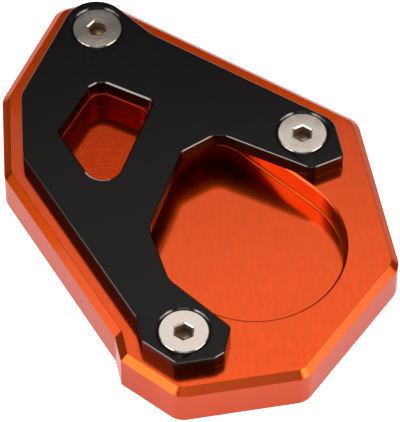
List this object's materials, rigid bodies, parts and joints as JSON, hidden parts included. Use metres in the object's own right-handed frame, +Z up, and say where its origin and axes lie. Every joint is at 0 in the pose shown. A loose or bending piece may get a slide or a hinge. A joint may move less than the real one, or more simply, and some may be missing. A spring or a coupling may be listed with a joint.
{
  "type": "kickstand foot enlarger",
  "caption": "Faceted chamfered orange plate with a round-ended pocket for a side stand's foot, held by a notched black clamp plate with countersunk screws, to spread the load on soft ground.",
  "frame": {"origin": "on the ground face, under the middle of the base plate's length and width", "axes": "+X along the straight rear edge towards the foot pocket's round end, +Y towards the rear edge, +Z up from the ground"},
  "size_m": [0.1114, 0.0916, 0.0163],
  "materials": {
    "base": "orange anodised, satin",
    "clamp": "black anodised, satin",
    "screws": "turned stainless steel"
  },
  "bodies": {
    "root": {"base_plate": "base", "clamp_plate": "clamp", "clamp_screws": "screws"}
  },
  "joints": []
}
